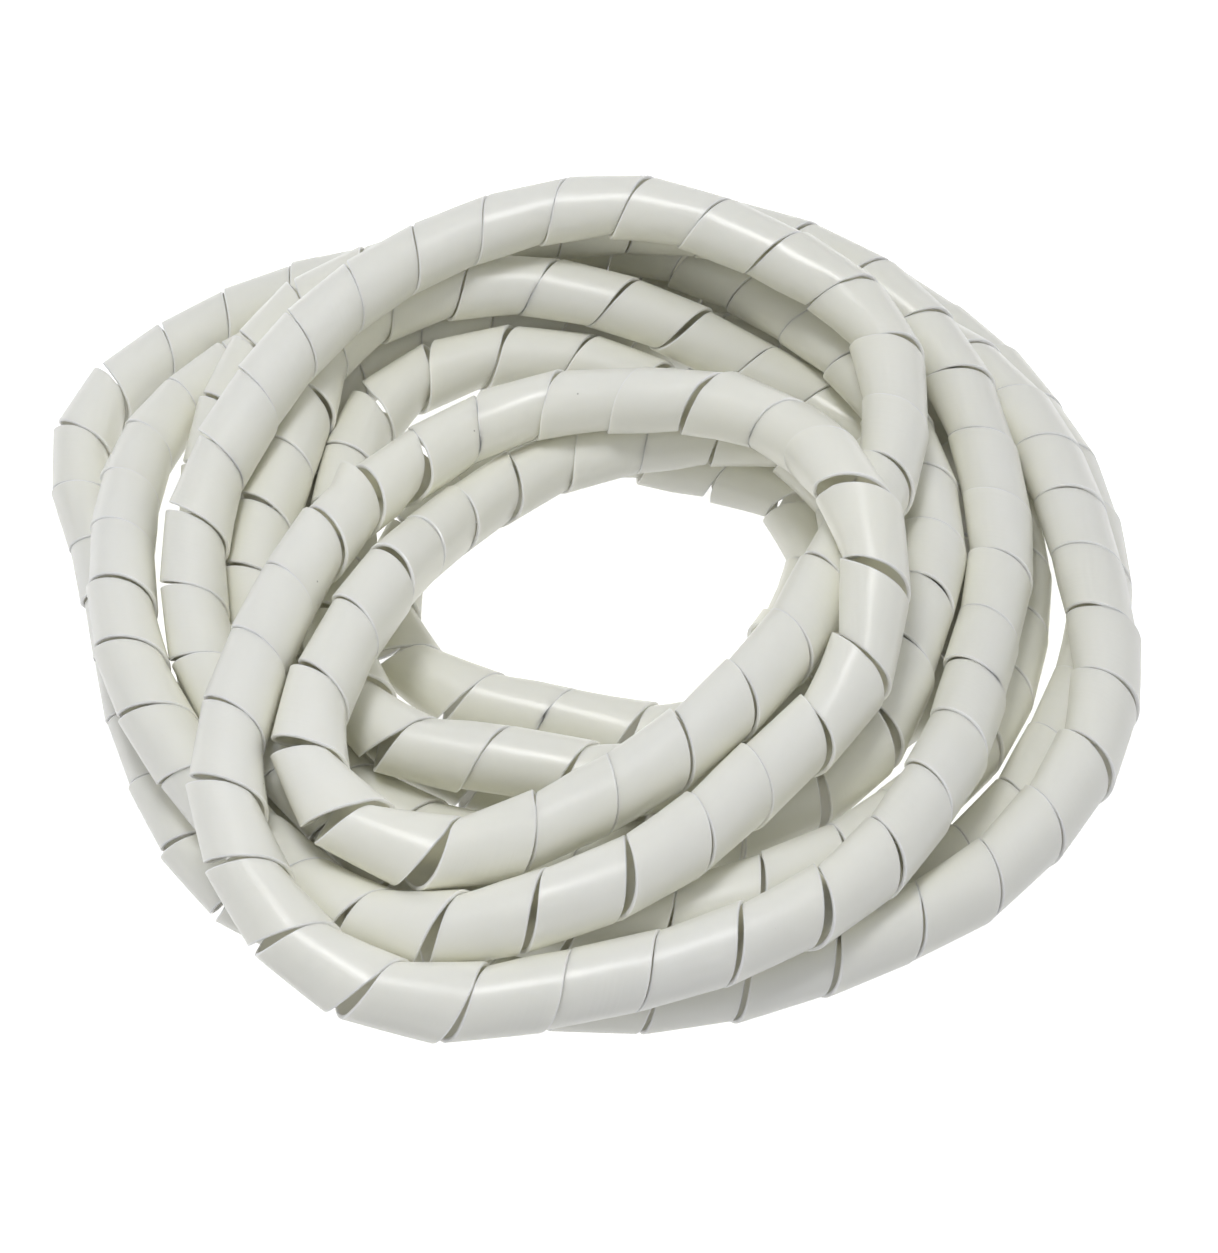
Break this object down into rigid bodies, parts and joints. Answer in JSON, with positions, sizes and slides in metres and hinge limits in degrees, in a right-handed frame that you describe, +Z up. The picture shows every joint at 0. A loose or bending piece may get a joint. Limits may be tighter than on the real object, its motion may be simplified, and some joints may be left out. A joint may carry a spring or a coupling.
{
  "type": "tree guard tube",
  "caption": "Milky plastic guard tube, slit in a spiral from end to end, lying wound up in a loose coil as it is kept before it goes round young trees or vines.",
  "frame": {"origin": "middle of the coil's box, on the surface that the coil lies on", "axes": "+Z up, +X to the right and +Y away from someone who looks at the coil from its front"},
  "size_m": [0.4316, 0.4256, 0.1008],
  "materials": {
    "tube": "milky polyethylene, soft gloss"
  },
  "bodies": {
    "coil": {"tube_turn_01": "tube", "tube_turn_02": "tube", "tube_turn_03": "tube", "tube_turn_04": "tube", "tube_turn_05": "tube", "tube_turn_06": "tube", "tube_turn_07": "tube", "tube_turn_08": "tube", "tube_turn_09": "tube", "tube_turn_10": "tube"},
    "loose_end": {"tube_end_bend": "tube", "tube_end_mouth": "tube"}
  },
  "joints": [
    {"name": "loose_end_swing", "type": "hinge", "parent": "coil", "child": "loose_end", "pos_m": [0.19166, 0.12128, 0.0125], "axis": [0, 0, -1], "range_deg": [0, 30], "stiffness_Nm_per_rad": 0.3}
  ]
}
